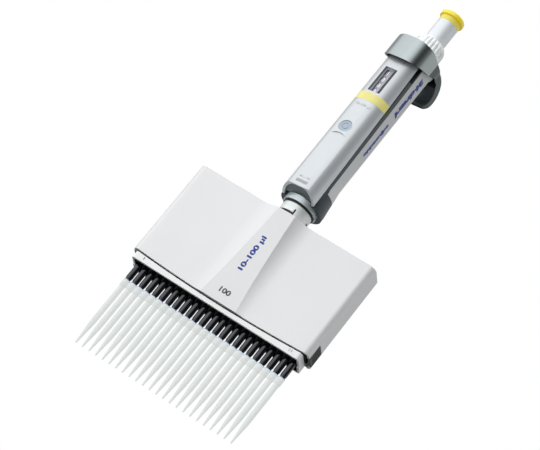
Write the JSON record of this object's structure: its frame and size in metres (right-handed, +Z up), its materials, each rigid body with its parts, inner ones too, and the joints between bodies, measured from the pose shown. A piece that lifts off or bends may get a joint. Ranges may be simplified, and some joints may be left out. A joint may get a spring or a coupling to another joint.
{
  "type": "multichannel pipette",
  "caption": "Hand-held multichannel pipette with a wide housing, a row of disposable tips, a turned handle with a volume window, a push button, a volume ring and a tip ejector.",
  "frame": {"origin": "on the plunger axis, in the plane of the row of tip cones, level with the lower ends of the cones", "axes": "+Z up the plunger axis towards the push button, -Y out of the front of the housing, +X along the row from the first channel to the last"},
  "size_m": [0.1178, 0.0469, 0.2819],
  "materials": {
    "housing_plastic": "smooth light grey moulding",
    "bar_plastic": "smooth white moulding",
    "side_plastic": "satin grey moulding",
    "dark_plastic": "satin dark grey moulding",
    "collar_plastic": "smooth mid grey moulding",
    "saddle_plastic": "satin grey-green moulding",
    "union_plastic": "smooth pale grey-green moulding",
    "yellow_plastic": "smooth bright yellow moulding",
    "pale_yellow_plastic": "smooth pale yellow moulding",
    "blue_grey_plastic": "satin blue-grey moulding",
    "cone_plastic": "smooth blue-black moulding",
    "tip_plastic": "cloudy see-through moulding",
    "window_plastic": "clear moulding",
    "seal_rubber": "black rubber",
    "steel": "ground steel",
    "spring_steel": "bright wire",
    "gear_brass": "turned brass"
  },
  "bodies": {
    "lower_housing": {"front_cover": "housing_plastic", "rear_cover": "housing_plastic", "union_core": "dark_plastic", "union_sleeve": "bar_plastic", "union_gasket": "seal_rubber", "cone_carrier": "dark_plastic", "tip_cones": "cone_plastic", "cylinders": "steel", "piston_seals": "seal_rubber", "guide_posts": "steel", "cover_screws": "steel"},
    "latch_tab_left": {"latch_left": "dark_plastic"},
    "latch_tab_right": {"latch_right": "dark_plastic"},
    "piston_drive": {"pistons": "steel", "piston_plate": "dark_plastic", "drive_rod": "steel"},
    "ejector_drive": {"ejector_bar_front": "bar_plastic", "ejector_bar_rear": "bar_plastic", "ejector_plate": "cone_plastic", "ejector_yoke": "dark_plastic", "push_rods": "steel"},
    "tip_row": {"tips": "tip_plastic"},
    "handle": {"front_shell": "housing_plastic", "colour_band": "pale_yellow_plastic", "chassis": "dark_plastic", "back_cover": "side_plastic", "finger_hook": "dark_plastic", "neck_ring": "bar_plastic", "window_lens": "window_plastic", "counter_frame": "dark_plastic", "counter_shaft": "steel", "adjustment_plug": "blue_grey_plastic", "adjustment_screw": "steel", "saddle": "saddle_plastic", "coupling_ring": "union_plastic", "handle_screws": "steel", "blowout_spring": "spring_steel", "blowout_washer": "steel", "main_spring": "spring_steel", "ejector_spring": "spring_steel"},
    "button": {"button_cap": "yellow_plastic", "button_skirt": "pale_yellow_plastic", "button_sleeve": "union_plastic", "button_rod": "steel", "rod_flange": "steel"},
    "volume_drive": {"volume_ring": "bar_plastic", "volume_sleeve": "steel", "drive_gear": "gear_brass"},
    "counter_tenths": {"counter_wheel_tenths": "bar_plastic", "counter_pinion": "gear_brass"},
    "counter_units": {"counter_wheel_units": "bar_plastic"},
    "counter_tens": {"counter_wheel_tens": "bar_plastic"},
    "counter_hundreds": {"counter_wheel_hundreds": "bar_plastic"},
    "ejector_slide": {"ejector_button": "collar_plastic", "ejector_rods": "steel"}
  },
  "joints": [
    {"name": "handle_swivel", "type": "hinge", "parent": "lower_housing", "child": "handle", "pos_m": [0, 0, 0.095], "axis": [0, 0, 1], "continuous": true},
    {"name": "button_press", "type": "slide", "parent": "handle", "child": "button", "axis": [0, 0, -1], "range_m": [0, 0.0155], "stiffness_N_per_m": 400, "deforming": ["main_spring"]},
    {"name": "piston_stroke", "type": "slide", "parent": "lower_housing", "child": "piston_drive", "axis": [0, 0, -1], "range_m": [0, 0.0155]},
    {"name": "volume_set", "type": "hinge", "parent": "handle", "child": "volume_drive", "pos_m": [0, 0, 0.2], "axis": [0, 0, 1], "range_deg": [-3600, 3600]},
    {"name": "tenths_turn", "type": "hinge", "parent": "handle", "child": "counter_tenths", "pos_m": [-0.00184, -0.0083, 0.18], "axis": [0, 0, 1], "range_deg": [-4050, 4050]},
    {"name": "units_turn", "type": "hinge", "parent": "handle", "child": "counter_units", "pos_m": [-0.00184, -0.0083, 0.18], "axis": [0, 0, 1], "range_deg": [-405, 405]},
    {"name": "tens_turn", "type": "hinge", "parent": "handle", "child": "counter_tens", "pos_m": [-0.00184, -0.0083, 0.18], "axis": [0, 0, 1], "range_deg": [-40.5, 40.5]},
    {"name": "hundreds_turn", "type": "hinge", "parent": "handle", "child": "counter_hundreds", "pos_m": [-0.00184, -0.0083, 0.18], "axis": [0, 0, 1], "range_deg": [-4.05, 4.05]},
    {"name": "ejector_press", "type": "slide", "parent": "handle", "child": "ejector_slide", "axis": [0, 0, -1], "range_m": [0, 0.0105], "stiffness_N_per_m": 300, "deforming": ["ejector_spring"]},
    {"name": "ejector_stroke", "type": "slide", "parent": "lower_housing", "child": "ejector_drive", "axis": [0, 0, -1], "range_m": [0, 0.0105]},
    {"name": "tips_lift_off", "type": "slide", "parent": "lower_housing", "child": "tip_row", "axis": [0, 0, -1], "range_m": [0, 0.03]},
    {"name": "latch_left_push", "type": "slide", "parent": "lower_housing", "child": "latch_tab_left", "axis": [1, 0, 0], "range_m": [0, 0.0015], "stiffness_N_per_m": 500},
    {"name": "latch_right_push", "type": "slide", "parent": "lower_housing", "child": "latch_tab_right", "axis": [-1, 0, 0], "range_m": [0, 0.0015], "stiffness_N_per_m": 500}
  ],
  "couplings": [
    {"joint": "piston_stroke", "follows": "button_press", "ratio": 1},
    {"joint": "ejector_stroke", "follows": "ejector_press", "ratio": 1},
    {"joint": "tenths_turn", "follows": "volume_set", "ratio": -1.125},
    {"joint": "units_turn", "follows": "volume_set", "ratio": -0.1125},
    {"joint": "tens_turn", "follows": "volume_set", "ratio": -0.01125},
    {"joint": "hundreds_turn", "follows": "volume_set", "ratio": -0.001125}
  ]
}
